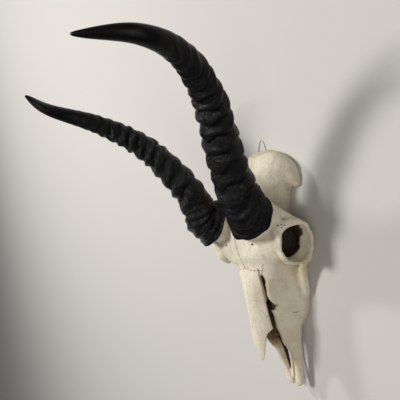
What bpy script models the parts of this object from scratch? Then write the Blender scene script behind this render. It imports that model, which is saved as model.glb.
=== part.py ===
"""Antelope horns on their skull cap.

A ram's skull, sawn off flat behind so that it can rest on that face, with
its loose nasal bones and premaxillae, the two ringed horn sheaths and the
thin cord that it hangs by.

Metres, +Z up.  The sawn face lies on z = 0, the nose points to -Y and the
animal's left side is +X.  The tables below are in millimetres and are
turned into metres by mm().
"""

import math

import bmesh
import bpy
import numpy as np
from mathutils import Vector

# Driving dimensions, in millimetres
CENTRE_Y = -10.7           # middle of the object's length, moved to the origin
GAP = 0.3                  # play between pieces that touch
WELD = 0.00002             # metres, closes up slivers left by a cut

HORN_RADIUS = (17.0, 14.6)           # sideways and fore-and-aft near the root
HORN_TAPER = 0.63                    # radius falls with (1 - s) to this power
HORN_TIP_RADIUS = 0.58
HORN_FLARE = (4.4, 4.5)              # added at the rim of the base
HORN_FLARE_REACH = 0.045             # part of the length over which it fades
RIDGE_HEIGHT = 0.15                  # height of a growth ring, part of radius
RIDGE_FADE = (0.50, 0.74)            # rings die out between these parts of the length
RIDGE_LEAN = 0.030                   # rings lean along the horn, part of length
HORN_SIDES = 20
HORN_ROWS = 64
HORN_CROWDING = 1.12                 # rows stand closer together near the root
HORN_STEPS = 400                     # points of the fine middle line
HORN_TURNING = 0.14                  # sections turn to the seat over this part
HORN_SEAT_NORMAL = (0.15, 0.39, 0.91)
# Bony stump under a horn: height above the seat, part of the horn's radii
PEDICLE = [(-15.0, 0.86), (-5.0, 0.94), (0.0, 0.97)]

# Middle line of a horn and how far the left one sways from the mean
HORN_PATH = [
    (24.8, 5.1, 51.8), (30.0, 11.1, 59.0), (31.8, 30.7, 65.5), (41.8, 59.7, 79.6),
    (58.2, 90.2, 97.2), (72.4, 111.8, 124.9), (75.8, 123.7, 158.9), (52.9, 130.2, 185.4),
]
HORN_SWAY = [
    (0.0, 0.0, 0.0), (-0.2, 0.9, -0.8), (-0.1, 0.6, 1.1), (-0.4, -1.5, 0.3),
    (-0.1, 2.2, 1.3), (0.0, 1.3, -1.1), (-0.3, -1.4, -5.6), (-1.3, 0.3, -1.9),
]

# Brain case: y, half width, height of the roof above the sawn face
BRAIN_CASE = [
    (61.6, 7.0, 3.0), (60.0, 13.0, 8.0), (56.0, 21.0, 14.5), (50.0, 28.0, 21.0),
    (41.0, 32.0, 29.5), (30.0, 30.5, 38.5), (20.0, 26.0, 45.5), (8.0, 22.0, 50.5),
    (-6.0, 21.0, 50.5), (-22.0, 20.0, 48.5), (-36.0, 20.0, 43.0),
]
BRAIN_WALL = 3.6
BRAIN_BELOW = 1.5                    # widest level, below the sawn face
BRAIN_FRONT, BRAIN_BACK = -10.0, 58.0      # the hollow lies between these
BRAIN_SIDES, BRAIN_SQUARE = 28, 2.15

# Forehead plate: y, then half outline from the underside to the crest
FOREHEAD = [
    (17.0, [(0, 36), (18, 30), (27, 30), (29, 34), (24, 39.5), (13, 45.5), (0, 48.5)]),
    (6.0, [(0, 38), (24, 32), (36, 32), (38.5, 35.5), (29, 43.5), (15, 49.5), (0, 52.5)]),
    (-6.0, [(0, 40), (24, 33), (41, 37), (43.5, 39.5), (31, 45.5), (15, 50.5), (0, 52.5)]),
    (-18.0, [(0, 40), (24, 34), (41, 38), (43.5, 41), (31, 45.5), (15, 49), (0, 51)]),
    (-28.0, [(0, 38), (22, 32), (36, 33), (38.5, 37), (28, 43), (14, 47.5), (0, 49.3)]),
    (-37.0, [(0, 34), (16, 29), (26, 28), (29, 33), (24, 38.5), (13, 42.8), (0, 44.8)]),
    (-46.0, [(0, 32), (12, 27), (18, 25), (21, 29), (18.5, 35), (12, 39.5), (0, 40.5)]),
]

# Muzzle: y, then half outline from the sawn face to the top
MUZZLE = [
    (-33.0, [(31, -4), (32.5, 8), (31, 18), (27, 28), (22, 36), (14, 41.5), (0, 43.5)]),
    (-48.0, [(30.5, -4), (30.5, 7), (28, 16), (23.5, 26), (19, 34), (15.5, 40), (0, 41)]),
    (-62.0, [(28.3, -4), (28, 6), (25.5, 14), (21, 23.5), (17.5, 31), (15.3, 38.5), (0, 40)]),
    (-74.0, [(25.8, -4), (25.5, 5), (23.5, 12), (20, 20), (17, 27), (14.8, 34.5), (0, 36)]),
    (-84.0, [(23, -4), (23, 4), (21.5, 10), (18.5, 18), (16, 26), (14, 34), (0, 35)]),
    (-92.0, [(18.5, -4), (19, 3), (18.5, 9), (16.8, 17), (15, 25), (13.4, 33), (0, 34)]),
    (-99.0, [(12, 1), (14.2, 3.5), (15.2, 9), (14.8, 16), (13.8, 23), (12.6, 30.5), (0, 31)]),
    (-108.0, [(8, 3), (12, 4), (13.4, 8), (13.4, 13), (12.8, 19), (11.6, 25.5), (0, 26)]),
    (-115.0, [(6, 4.5), (10.8, 5.2), (12.2, 8), (12.3, 11.5), (11.8, 16), (10.6, 21), (0, 21.5)]),
]
# Air passage through the muzzle: y, half width, lowest and highest point
NOSE_PASSAGE = [
    (-44.0, 6.0, 12.0, 41.0), (-50.0, 9.5, 6.0, 60.0), (-64.0, 12.0, 4.0, 60.0),
    (-80.0, 11.5, 4.0, 60.0), (-92.0, 10.5, 5.0, 60.0), (-104.0, 9.5, 6.0, 60.0),
    (-120.0, 8.6, 6.3, 60.0),
]
# Slit between nasal bone and cheek: y, inner x, outer x, lowest point
SLIT = [(-47.0, 13.2, 14.6, 30.0), (-60.0, 12.0, 15.6, 30.0), (-76.0, 11.0, 15.4, 28.0)]

# Eye socket: middle of the rim, its two radii along and across, and the
# directions in which they and the opening point
EYE_CENTRE = (47.0, -20.8, 26.6)
EYE_RADII = (17.6, 15.4)
EYE_ALONG = (0.12, 0.985, -0.12)
EYE_UP = (-0.265, 0.10, 0.96)
EYE_SIDES = 20
# Outside of the socket: depth, part of the rim's radii, rise
EYE_SHELL = [(0.0, 1.0, 0.0), (6.0, 0.98, 0.3), (13.0, 0.88, 0.8), (22.0, 0.66, 1.5)]
# Inside of the socket: depth, part of the rim's radii, rise
EYE_HOLLOW = [(-6.0, 0.94, 1.2), (0.0, 0.89, 1.2), (8.0, 0.75, 3.4), (17.0, 0.72, 3.6),
              (25.0, 0.40, 2.6)]

# Root of the cheek arch, sawn through: points along it and its radii
ARCH_ROOT = [(22.0, 41.0, 9.0), (29.5, 38.5, 6.0), (33.5, 32.5, 3.0), (35.0, 26.5, 1.0)]
ARCH_ROOT_RADII = [(11.0, 14.0), (8.5, 10.0), (5.6, 6.0), (3.0, 3.0)]

# Bar behind the eye socket, from the forehead down to the rim, and its radii
EYE_BAR = [(24.0, 9.0, 38.0), (34.0, 4.0, 31.5), (42.5, -2.5, 24.5), (48.0, -9.5, 18.0)]
EYE_BAR_RADII = [(6.0, 7.0), (4.5, 6.0), (3.2, 4.5), (2.2, 2.8)]

NECK_OPENING_RADII = (9.5, 5.0)      # upper rim of the opening for the spinal cord
NECK_OPENING_REACH = (44.0, 70.0)
SAW_CUT = ((-80, -180, -60), (80, 120, 0))
SKY = 60.0                           # above the top of the face

# Nasal bone: y, inner x, outer x, top height at the middle, height at the edge
NASAL = [
    (-39.2, 0.3, 12.8, 46.8, 44.0), (-52.0, 0.3, 12.5, 47.4, 42.2),
    (-66.0, 0.3, 12.2, 48.2, 40.8), (-80.0, 0.3, 12.2, 48.8, 39.8),
    (-91.0, 0.3, 12.8, 49.0, 39.0), (-96.0, 0.3, 9.2, 48.8, 43.2),
    (-105.0, 0.3, 6.6, 48.2, 44.6), (-113.0, 0.3, 3.8, 46.8, 44.8),
    (-118.4, 0.3, 1.3, 45.4, 44.9),
]
NASAL_THICKNESS = 2.2

# Premaxilla: y, middle x, middle height, half width, half height
PREMAXILLA = [
    (-115.4, 9.4, 12.6, 3.0, 7.6), (-124.0, 8.6, 11.6, 3.1, 6.2),
    (-134.0, 7.4, 10.8, 3.3, 4.4), (-143.0, 6.0, 10.6, 3.6, 3.4),
    (-149.5, 4.9, 10.7, 3.6, 2.9), (-153.0, 4.2, 10.9, 2.2, 1.7),
]
# Inner spine of the premaxilla, back along the midline
PALATE_SPINE = [
    (-112.0, 3.0, 8.2, 1.3, 1.2), (-122.0, 2.8, 8.6, 1.5, 1.4),
    (-136.0, 2.7, 9.2, 1.8, 1.6), (-147.0, 3.2, 10.2, 2.4, 2.0),
]

# Hanging cord: a loop out of the neck opening, lying on the table
CORD_DIAMETER = 1.0
CORD_ROUTE = [
    (-6.5, 46.0, 2.6), (-7.6, 50.5, 1.5), (-7.4, 56.0, 0.62), (-5.8, 61.5, 0.56),
    (-3.4, 66.5, 0.56), (-1.6, 70.0, 0.56), (0.4, 72.2, 0.56), (2.6, 71.2, 0.56),
    (3.4, 67.5, 0.56), (4.2, 62.0, 0.56), (5.2, 56.5, 0.62), (5.8, 51.0, 1.5),
    (5.4, 46.5, 2.6),
]


SIDE_NAMES = {1: "left", -1: "right"}


def mm(point):
    """A point of the tables as a vector in metres, about the origin."""
    x, y, z = point
    return Vector((x * 0.001, (y - CENTRE_Y) * 0.001, z * 0.001))


def clear_scene():
    for obj in list(bpy.data.objects):
        bpy.data.objects.remove(obj, do_unlink=True)


def material(name, colour, roughness):
    made = bpy.data.materials.new(name)
    made.use_nodes = True
    shader = made.node_tree.nodes["Principled BSDF"]
    shader.inputs["Base Color"].default_value = (*colour, 1.0)
    shader.inputs["Roughness"].default_value = roughness
    shader.inputs["Metallic"].default_value = 0.0
    return made


def place(name, mesh, finish=None):
    obj = bpy.data.objects.new(name, mesh)
    bpy.context.scene.collection.objects.link(obj)
    if finish:
        mesh.materials.append(finish)
    return obj


def lofted(name, rings, finish=None, side=1):
    """A closed body over rings of equal length, with a flat cap at each end.

    The rings describe the left piece, and side -1 makes its mirror image.
    """
    bm = bmesh.new()
    loops = [[bm.verts.new(mm((side * x, y, z))) for x, y, z in ring] for ring in rings]
    for near, far in zip(loops, loops[1:]):
        for k in range(len(near)):
            n = (k + 1) % len(near)
            bm.faces.new((near[k], near[n], far[n], far[k]))
    bm.faces.new(loops[0])
    bm.faces.new(loops[-1])
    bmesh.ops.triangulate(bm, faces=bm.faces)
    bmesh.ops.recalc_face_normals(bm, faces=bm.faces)
    mesh = bpy.data.meshes.new(name)
    bm.to_mesh(mesh)
    bm.free()
    return place(name, mesh, finish)


def oval(centre, side, lift, radii, sides, square=2.0):
    """Points of a rounded oval about centre, in the plane of side and lift."""
    points = []
    for k in range(sides):
        angle = 2 * math.pi * k / sides
        c, s = math.cos(angle), math.sin(angle)
        a = math.copysign(abs(c) ** (2 / square), c) * radii[0]
        b = math.copysign(abs(s) ** (2 / square), s) * radii[1]
        points.append([centre[i] + a * side[i] + b * lift[i] for i in range(3)])
    return points


def smooth_line(points, count):
    """Evenly spaced points of a Catmull-Rom curve through the given points."""
    p = np.array(points, float)
    p = np.vstack([2 * p[0] - p[1], p, 2 * p[-1] - p[-2]])
    dense = []
    for i in range(1, len(p) - 2):
        t = np.linspace(0, 1, 40, endpoint=False)[:, None]
        a, b, c, d = p[i - 1], p[i], p[i + 1], p[i + 2]
        dense.append(0.5 * (2 * b + (c - a) * t + (2 * a - 5 * b + 4 * c - d) * t ** 2
                            + (3 * b - a - 3 * c + d) * t ** 3))
    dense = np.vstack(dense + [p[-2:-1]])
    steps = np.linalg.norm(np.diff(dense, axis=0), axis=1)
    run = np.concatenate([[0], np.cumsum(steps)])
    at = np.linspace(0, run[-1], count)
    return np.stack([np.interp(at, run, dense[:, i]) for i in range(3)], axis=1)


def carried_frames(line, first_side):
    """Tangent, side and lift along a line, carried without twist."""
    tangent = np.gradient(line, axis=0)
    tangent /= np.linalg.norm(tangent, axis=1)[:, None]
    side = np.array(first_side, float)
    frames = []
    for t in tangent:
        side = side - np.dot(side, t) * t
        side /= np.linalg.norm(side)
        frames.append((t, side, np.cross(t, side)))
    return frames


def tube(name, points, radii, side, sides=12, count=7):
    line = smooth_line(points, count)
    at = np.linspace(0, len(radii) - 1, count)
    wide = np.interp(at, range(len(radii)), [r[0] for r in radii])
    high = np.interp(at, range(len(radii)), [r[1] for r in radii])
    rings = []
    for k, (_, across, lift) in enumerate(carried_frames(line, (1, 0, 0.01))):
        rings.append(oval(line[k], across, lift, (wide[k], high[k]), sides))
    return lofted(name, rings, side=side)


def mirrored_outline(half):
    """A closed outline across the midline from its half with x >= 0."""
    low = [p for p in half if p[0] > 0]
    crest = [p for p in half if p[0] == 0]
    left = [(-x, z) for x, z in reversed(low)]
    if len(crest) == 2:
        return [crest[0]] + low + [crest[1]] + left
    return low + crest + left


def combine(body, tool, operation):
    """Union or difference of body with tool, which is used up."""
    step = body.modifiers.new(operation.lower(), "BOOLEAN")
    step.operation = operation
    step.solver = "EXACT"
    step.object = tool
    graph = bpy.context.evaluated_depsgraph_get()
    shaped = bpy.data.meshes.new_from_object(body.evaluated_get(graph))
    body.modifiers.clear()
    bm = bmesh.new()
    bm.from_mesh(shaped)
    bmesh.ops.remove_doubles(bm, verts=bm.verts, dist=WELD)
    bm.to_mesh(shaped)
    bm.free()
    body.data = shaped
    bpy.data.objects.remove(tool, do_unlink=True)


def block(name, low, high):
    corners = [(low[0], low[1]), (high[0], low[1]), (high[0], high[1]), (low[0], high[1])]
    return lofted(name, [[(x, y, z) for x, y in corners] for z in (low[2], high[2])])


def eye_rings(levels):
    """Rings of the eye socket, stepped inward along the socket's own axis."""
    along, up = np.array(EYE_ALONG), np.array(EYE_UP)
    along, up = along / np.linalg.norm(along), up / np.linalg.norm(up)
    out = np.cross(along, up)
    rings = []
    for depth, part, rise in levels:
        centre = np.array(EYE_CENTRE) - out * depth + up * rise
        radii = (EYE_RADII[0] * part, EYE_RADII[1] * part)
        rings.append(oval(centre, along, up, radii, EYE_SIDES, 2.2))
    return rings


def pedicle(side):
    """Short bony stump under a horn, cut off along the horn's seat."""
    middle = np.array(HORN_PATH[0])
    normal = np.array(HORN_SEAT_NORMAL) / np.linalg.norm(HORN_SEAT_NORMAL)
    across = np.cross(normal, (0, 1, 0))
    across /= np.linalg.norm(across)
    along = np.cross(normal, across)
    wide, deep = (r + flare for r, flare in zip(HORN_RADIUS, HORN_FLARE))
    rings = []
    for rise, spread in PEDICLE:
        centre = middle + normal * (rise - GAP)
        rings.append(oval(centre, across, along, (wide * spread, deep * spread), 20))
    return lofted("pedicle", rings, side=side)


def brain_case_rings(inset):
    """Cross-sections of the brain case, shrunk by inset for its hollow."""
    return [oval((0, y, -BRAIN_BELOW), (1, 0, 0), (0, 0, 1),
                 (w - inset, h + BRAIN_BELOW - inset), BRAIN_SIDES, BRAIN_SQUARE)
            for y, w, h in BRAIN_CASE]


def skull_cap(finish):
    """Cranium and cheeks grown together, hollow and sawn off flat behind."""
    skull = lofted("skull_cap", brain_case_rings(0.0), finish)
    for name, table in (("forehead", FOREHEAD), ("muzzle", MUZZLE)):
        rings = [[(x, y, z) for x, z in mirrored_outline(half)] for y, half in table]
        combine(skull, lofted(name, rings), "UNION")
    for side in (1, -1):
        combine(skull, tube("arch_root", ARCH_ROOT, ARCH_ROOT_RADII, side), "UNION")
        combine(skull, tube("eye_bar", EYE_BAR, EYE_BAR_RADII, side), "UNION")
        combine(skull, lofted("eye_shell", eye_rings(EYE_SHELL), side=side), "UNION")
        combine(skull, pedicle(side), "UNION")

    passage = [[(w, y, low), (w, y, high), (-w, y, high), (-w, y, low)]
               for y, w, low, high in NOSE_PASSAGE]
    combine(skull, lofted("nose_passage", passage), "DIFFERENCE")
    slit = [[(inner, y, low), (outer, y, low), (outer, y, SKY), (inner, y, SKY)]
            for y, inner, outer, low in SLIT]
    for side in (1, -1):
        combine(skull, lofted("slit", slit, side=side), "DIFFERENCE")
        combine(skull, lofted("eye_hollow", eye_rings(EYE_HOLLOW), side=side), "DIFFERENCE")
    hollow = [ring for ring, row in zip(brain_case_rings(BRAIN_WALL), BRAIN_CASE)
              if BRAIN_FRONT < row[0] < BRAIN_BACK]
    combine(skull, lofted("brain_hollow", hollow), "DIFFERENCE")
    neck = [oval((0, y, 0), (1, 0, 0), (0, 0, 1), NECK_OPENING_RADII, 16)
            for y in NECK_OPENING_REACH]
    combine(skull, lofted("neck_opening", neck), "DIFFERENCE")
    combine(skull, block("saw_cut", *SAW_CUT), "DIFFERENCE")
    return skull


def nasal_bone(side, finish):
    """Long thin roof bone of the nose, notched at its outer front edge."""
    rings = []
    for y, inner, outer, top, edge in NASAL:
        middle = 0.5 * (inner + outer)
        bulge = top - 0.28 * (top - edge)
        thick = min(NASAL_THICKNESS, 0.9 * (outer - inner) + 0.6)
        upper = [(inner, top), (middle, bulge), (outer, edge)]
        lower = [(outer - 0.3, edge - 0.6 * thick), (middle, bulge - thick), (inner, top - thick)]
        rings.append([(x, y, z) for x, z in upper + lower])
    return lofted("nasal_bone_" + SIDE_NAMES[side], rings, finish, side)


def premaxilla(side, finish):
    """Bone at the tip of the snout: an outer prong and an inner palate spine."""
    def prong(name, table, own_finish=None):
        rings = [oval((x, y, z), (1, 0, 0), (0, 0, 1), (w, h), 10, 2.2)
                 for y, x, z, w, h in table]
        return lofted(name, rings, own_finish, side)
    bone = prong("premaxilla_" + SIDE_NAMES[side], PREMAXILLA, finish)
    combine(bone, prong("spine", PALATE_SPINE), "UNION")
    return bone


def ring_ridges(along, lean):
    """Height of the growth rings, which crowd together up the horn."""
    reach = along + lean - 0.125
    count = 12.5 * reach + 11.2 * reach ** 2
    crest = 0.5 + 0.5 * np.cos(2 * np.pi * count)
    start, stop = RIDGE_FADE
    fade = np.clip((stop - along) / (stop - start), 0, 1)
    return RIDGE_HEIGHT * (crest ** 0.7 - 0.5) * fade


def horn(side, finish):
    """Ringed horn sheath, a tapering tube swept along its curve.

    Its first sections turn until they lie in the plane of the seat.
    """
    path = np.array(HORN_PATH) + side * np.array(HORN_SWAY)
    line = smooth_line(path, HORN_STEPS)
    part = np.linspace(0, 1, HORN_ROWS) ** HORN_CROWDING
    picked = np.round(part * (HORN_STEPS - 1)).astype(int)
    seat_normal = np.array(HORN_SEAT_NORMAL) / np.linalg.norm(HORN_SEAT_NORMAL)
    angle = 2 * np.pi * np.arange(HORN_SIDES) / HORN_SIDES
    frames = carried_frames(line, (0, -1, 0.4))
    rings = []
    for along, k in zip(part, picked):
        tangent, across, _ = frames[k]
        lean = RIDGE_LEAN * np.cos(angle)
        swell = 1 + ring_ridges(along, lean)
        body = (1 - along) ** HORN_TAPER
        flare = math.exp(-along / HORN_FLARE_REACH)
        high, wide = (((r * body + extra * flare) * swell + HORN_TIP_RADIUS)[:, None]
                      for r, extra in zip(HORN_RADIUS, HORN_FLARE))
        blend = min(along / HORN_TURNING, 1) ** 0.8
        plane = (1 - blend) * seat_normal + blend * tangent
        plane /= np.linalg.norm(plane)
        across = across - np.dot(across, plane) * plane
        across /= np.linalg.norm(across)
        lift = np.cross(plane, across)
        rings.append(line[k] + wide * np.cos(angle)[:, None] * across
                     + high * np.sin(angle)[:, None] * lift)
    made = lofted("horn_" + SIDE_NAMES[side], rings, finish, side)
    made.data.shade_smooth()
    return made


def hanging_cord(finish):
    """Thin twine loop, laid out on the table behind the skull."""
    points = smooth_line(CORD_ROUTE, 26)
    curve = bpy.data.curves.new("hanging_cord", "CURVE")
    curve.dimensions = "3D"
    curve.bevel_depth = CORD_DIAMETER * 0.0005
    curve.bevel_resolution = 2
    curve.use_fill_caps = True
    spline = curve.splines.new("POLY")
    spline.points.add(len(points) - 1)
    for knot, point in zip(spline.points, points):
        knot.co = (*mm(point), 1.0)
    curve.materials.append(finish)
    obj = bpy.data.objects.new("hanging_cord", curve)
    bpy.context.scene.collection.objects.link(obj)
    return obj


def build():
    clear_scene()
    bone = material("weathered bone", (0.80, 0.74, 0.62), 0.62)
    pale_bone = material("bleached bone", (0.86, 0.82, 0.72), 0.58)
    horn_black = material("black horn", (0.018, 0.018, 0.020), 0.42)
    twine = material("off-white twine", (0.74, 0.70, 0.62), 0.9)
    skull_cap(bone)
    for side in (1, -1):
        nasal_bone(side, pale_bone)
        premaxilla(side, pale_bone)
        horn(side, horn_black)
    hanging_cord(twine)


build()
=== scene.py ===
"""Antelope horns on their skull cap: the finished look over the solid parts.

The skull cap and the premaxillae are signed distance fields of a few smooth
forms, walked by a surface net.  The horns and the nasal bones are rings joined
into closed skins.  Tables are in millimetres, about the middle of the skull's
base, and mm() turns them into metres about the part's own origin.
"""

import math

import bpy
import numpy as np
from mathutils import Matrix


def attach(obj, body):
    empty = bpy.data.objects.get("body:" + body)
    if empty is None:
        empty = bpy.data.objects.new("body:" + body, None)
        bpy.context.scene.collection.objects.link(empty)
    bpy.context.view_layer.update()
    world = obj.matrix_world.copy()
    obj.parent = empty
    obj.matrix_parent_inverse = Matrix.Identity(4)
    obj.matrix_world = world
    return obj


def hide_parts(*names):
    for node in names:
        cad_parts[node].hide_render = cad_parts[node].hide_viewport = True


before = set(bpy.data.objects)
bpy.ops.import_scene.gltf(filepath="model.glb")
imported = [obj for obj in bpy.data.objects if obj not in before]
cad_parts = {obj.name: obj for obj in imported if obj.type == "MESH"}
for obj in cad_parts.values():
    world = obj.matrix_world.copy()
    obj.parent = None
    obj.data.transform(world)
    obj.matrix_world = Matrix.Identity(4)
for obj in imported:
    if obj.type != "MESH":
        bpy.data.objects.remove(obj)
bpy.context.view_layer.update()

bl_info = {
    "name": "Antelope horns on a skull cap",
    "version": (1, 0, 0),
    "blender": (4, 5, 0),
    "location": "View3D > Sidebar > Horns",
    "description": "Builds the weathered skull cap, its ringed horns and its hanging cord",
    "category": "Add Mesh",
}

CENTRE_Y = -10.7                     # middle of the length, moved to the origin
SIDES = {1: "left", -1: "right"}

# Brain case: y, half width, height of the roof above the sawn face
BRAIN_CASE = [
    (61.6, 7.0, 3.0), (60.0, 13.0, 8.0), (56.0, 21.0, 14.5), (50.0, 28.0, 21.0),
    (41.0, 32.0, 29.5), (30.0, 30.5, 38.5), (20.0, 26.5, 44.5), (8.0, 22.5, 48.0),
    (-6.0, 21.0, 47.5), (-22.0, 20.0, 45.0), (-36.0, 19.0, 39.0),
]
BRAIN_BELOW = 1.5                    # widest level, below the sawn face
BRAIN_SQUARE = 2.15                  # power of its oval section
BRAIN_THICKNESS = 3.4
BRAIN_HOLLOW = (-8.0, 57.5)          # y of its ends
# Opening for the spinal cord: radius across, flattening, y of its inner end
NECK_OPENING = (9.5, 1.8, 44.0)

# Forehead plate: y, then half outline from the underside to the crest
FOREHEAD = [
    (17.0, [(0, 36), (18, 30), (27, 30), (29, 34), (24, 39.5), (13, 45.5), (0, 48.5)]),
    (6.0, [(0, 38), (24, 32), (36, 32), (38.5, 35.5), (29, 43.5), (15, 49.5), (0, 52.0)]),
    (-6.0, [(0, 40), (24, 33), (41, 37), (43.5, 39.5), (31, 45.5), (15, 50.0), (0, 51.6)]),
    (-18.0, [(0, 40), (24, 34), (41, 38), (43.5, 41), (31, 45.5), (15, 49), (0, 50.6)]),
    (-28.0, [(0, 38), (22, 32), (36, 33), (39.0, 37), (28, 43.5), (14, 47.8), (0, 49.4)]),
    (-37.0, [(0, 34), (16, 29), (26, 28), (29, 33), (24, 38.5), (13, 43.6), (0, 46.0)]),
    (-47.0, [(0, 32), (12, 27), (18, 25), (21, 29), (18.5, 35), (12, 39.5), (0, 40.5)]),
]
# Muzzle: y, then half outline from below the sawn face to the top
MUZZLE = [
    (-24.0, [(30, -4), (31, 8), (29, 18), (25, 28), (20, 35), (13, 40), (0, 42)]),
    (-33.0, [(31, -4), (32.5, 8), (31, 18), (27, 28), (22, 36), (14, 41.5), (0, 43.5)]),
    (-48.0, [(30.5, -4), (30.5, 7), (28, 16), (23.5, 26), (19.5, 34.5), (15.5, 41), (0, 41.5)]),
    (-62.0, [(28.3, -4), (28, 6), (25.5, 14), (21.5, 23.5), (18.6, 32), (15.8, 41.0), (0, 42.5)]),
    (-74.0, [(25.8, -4), (25.5, 5), (23.5, 12), (20, 20), (17.3, 28), (15.2, 36.5), (0, 38)]),
    (-84.0, [(23, -4), (23, 4), (21.5, 10), (18.5, 18), (16, 26), (14, 34), (0, 35)]),
    (-92.0, [(18.5, -4), (19, 3), (18.5, 9), (16.8, 17), (15, 25), (13.4, 33), (0, 34)]),
    (-99.0, [(12, 1), (14.2, 3.5), (15.2, 9), (14.8, 16), (13.8, 23), (12.6, 30.5), (0, 31)]),
    (-108.0, [(8, 3), (12, 4), (13.4, 8), (13.6, 13), (13.3, 20), (12.6, 27.5), (0, 28)]),
    (-115.0, [(6, 4.5), (10.8, 5.2), (12.2, 8), (12.5, 11.5), (12.3, 17.5), (11.6, 23.5), (0, 24)]),
]
# Air passage through the muzzle: y, half width, lowest point
NOSE_PASSAGE = [
    (-47.0, 7.0, 10.0), (-52.0, 9.5, 6.0), (-64.0, 11.0, 4.0), (-80.0, 11.2, 4.0),
    (-92.0, 10.5, 5.0), (-104.0, 9.5, 6.0), (-120.0, 8.4, 6.3),
]
# Slit between nasal bone and cheek: y, inner x, outer x
SLIT = [(-46.0, 13.2, 14.0), (-50.0, 12.6, 14.8), (-58.0, 12.2, 14.3), (-68.0, 11.4, 14.2),
        (-73.0, 11.2, 15.2), (-75.5, 11.0, 14.2)]

# Thin plate in the passage, at its edge: y, x, height
NOSE_PLATE = [(-72.0, 9.2, 31.0), (-80.0, 8.7, 30.6), (-92.0, 7.9, 28.4), (-106.0, 6.8, 25.5)]
NOSE_PLATE_HALF, NOSE_PLATE_FLOOR = 0.75, 3.0
# Roof of the nose, from the tip backwards: y, then height
NOSE_ROOF = ((-120, -100, -76, -46), (22, 32, 37, 43))

# Eye socket: middle of the rim, its radii along and across, its directions
EYE_CENTRE = (47.0, -20.8, 26.6)
EYE_RADII = (17.6, 15.4)
EYE_ALONG = (0.12, 0.985, -0.12)
EYE_UP = (-0.265, 0.10, 0.96)
EYE_SQUARE = 2.2                     # power of its oval section
# Outside and inside of the socket: depth, part of the radii, rise
EYE_SHELL = [(0.0, 1.0, 0.0), (6.0, 0.98, 0.3), (13.0, 0.88, 0.8), (22.0, 0.66, 1.5)]
EYE_HOLLOW = [(-6.0, 0.95, 1.0), (0.0, 0.905, 1.0), (4.0, 0.87, 1.9), (9.0, 0.76, 3.4),
              (15.0, 0.70, 3.4), (19.5, 0.48, 2.6)]

# Swept limbs of the skull: points and the radius at each
ARCH_ROOT = ([(22, 41, 9), (29.0, 38.5, 6), (33, 33, 3.5), (35, 26.5, 1)], [13, 9.4, 6.2, 3.2])
EYE_BAR = ([(24, 9, 38), (33.5, 4.5, 31.5), (42, -2, 24.5), (47.5, -9, 17.5)], [7, 5.2, 3.6, 2.4])
BROW = ([(36, 6, 37), (40.5, -5, 40.3), (41.5, -17, 41), (39.5, -29, 38.2)], [2.2, 2.3, 2.2, 2.0])
# Rims of the eye socket, behind and in front, and the bone outside the rear one
REAR_RIM = ([(38.5, -1.0, 40), (43.2, -6.5, 40.6), (45.6, -5.5, 34.3), (47.4, -4.9, 28.4),
             (49, -4.6, 22.7)], [4.0, 2.8, 2.1, 1.8, 1.4])
FRONT_RIM = ([(40.6, -28, 40.4), (39.6, -33, 37.2), (39.6, -36.8, 31.5)], [1.1, 1.3, 1.0])
TEMPLE = ([(39, 0, 38.5), (43, -3.5, 38.2), (45.8, -2.6, 31.5), (47.5, -3.5, 25)],
          [3.2, 2.5, 2.0, 1.5])
# Ridges at the nape and over the cheek
NAPE_RIDGE = ([(24, 50, 4), (31, 46, 4), (36, 41.5, 3.5), (37.3, 36, 3), (36.6, 26.0, 2)],
              [1.8, 2.1, 2.0, 1.8, 1.4])
CHEEK_RIDGE = ([(44, -36, 17), (36, -43, 14), (31, -55, 9), (27, -68, 5)], [2.6, 3.2, 3.0, 2.0])
# Dent in the forehead, in front of the horn
FOREHEAD_DENT = ([(17.3, -17, 52.5), (16.5, -21.5, 51.5), (15.0, -27.0, 50.8)], [3.8, 3.2, 2.2])

# Horn: see horn_form()
HORN_RADIUS = (17.0, 14.6)           # sideways and fore-and-aft near the root
HORN_TAPER = 0.63
HORN_TIP_RADIUS = 0.58
HORN_FLARE = (4.2, 4.3)
HORN_FLARE_REACH = 0.045
HORN_TURNING = 0.14
HORN_SEAT_NORMAL = (0.15, 0.39, 0.91)
HORN_PATH = [
    (24.8, 5.1, 51.8), (30.0, 11.1, 59.0), (31.8, 30.7, 65.5), (41.8, 59.7, 79.6),
    (58.2, 90.2, 97.2), (72.4, 111.8, 124.9), (75.8, 123.7, 158.9), (52.9, 130.2, 185.4),
]
HORN_SWAY = [
    (0.0, 0.0, 0.0), (-0.2, 0.9, -0.8), (-0.1, 0.6, 1.1), (-0.4, -1.5, 0.3),
    (-0.1, 2.2, 1.3), (0.0, 1.3, -1.1), (-0.3, -1.4, -5.6), (-1.3, 0.3, -1.9),
]
HORN_ROWS, HORN_COLUMNS = 420, 128
HORN_STEPS = 1600                    # points of its middle line
RING_START = 0.125                   # part of the length where the rings' count is 0
RING_PACE = (12.5, 11.2)             # rings in a length there, and how that grows
# Base of the right horn: swelling, droop, degrees round, reach along the horn
FAR_BASE = (7.6, 1.2, 72.0, 0.036)

# Nasal bone: y, outer x, height at the midline, height at the outer edge
NASAL = [
    (-38.6, 13.4, 46.6, 43.6), (-44.0, 12.9, 47.0, 43.2), (-52.0, 12.5, 47.4, 42.2),
    (-66.0, 12.2, 48.2, 40.8), (-80.0, 12.2, 48.8, 39.8), (-88.0, 12.6, 49.0, 39.2),
    (-91.5, 12.8, 49.0, 39.0), (-93.0, 11.4, 49.0, 40.4), (-96.0, 9.2, 48.8, 43.2),
    (-105.0, 6.6, 48.2, 44.6), (-113.0, 3.8, 46.8, 44.8), (-118.3, 1.3, 45.4, 44.9),
]
NASAL_THICKNESS = 2.0

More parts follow.
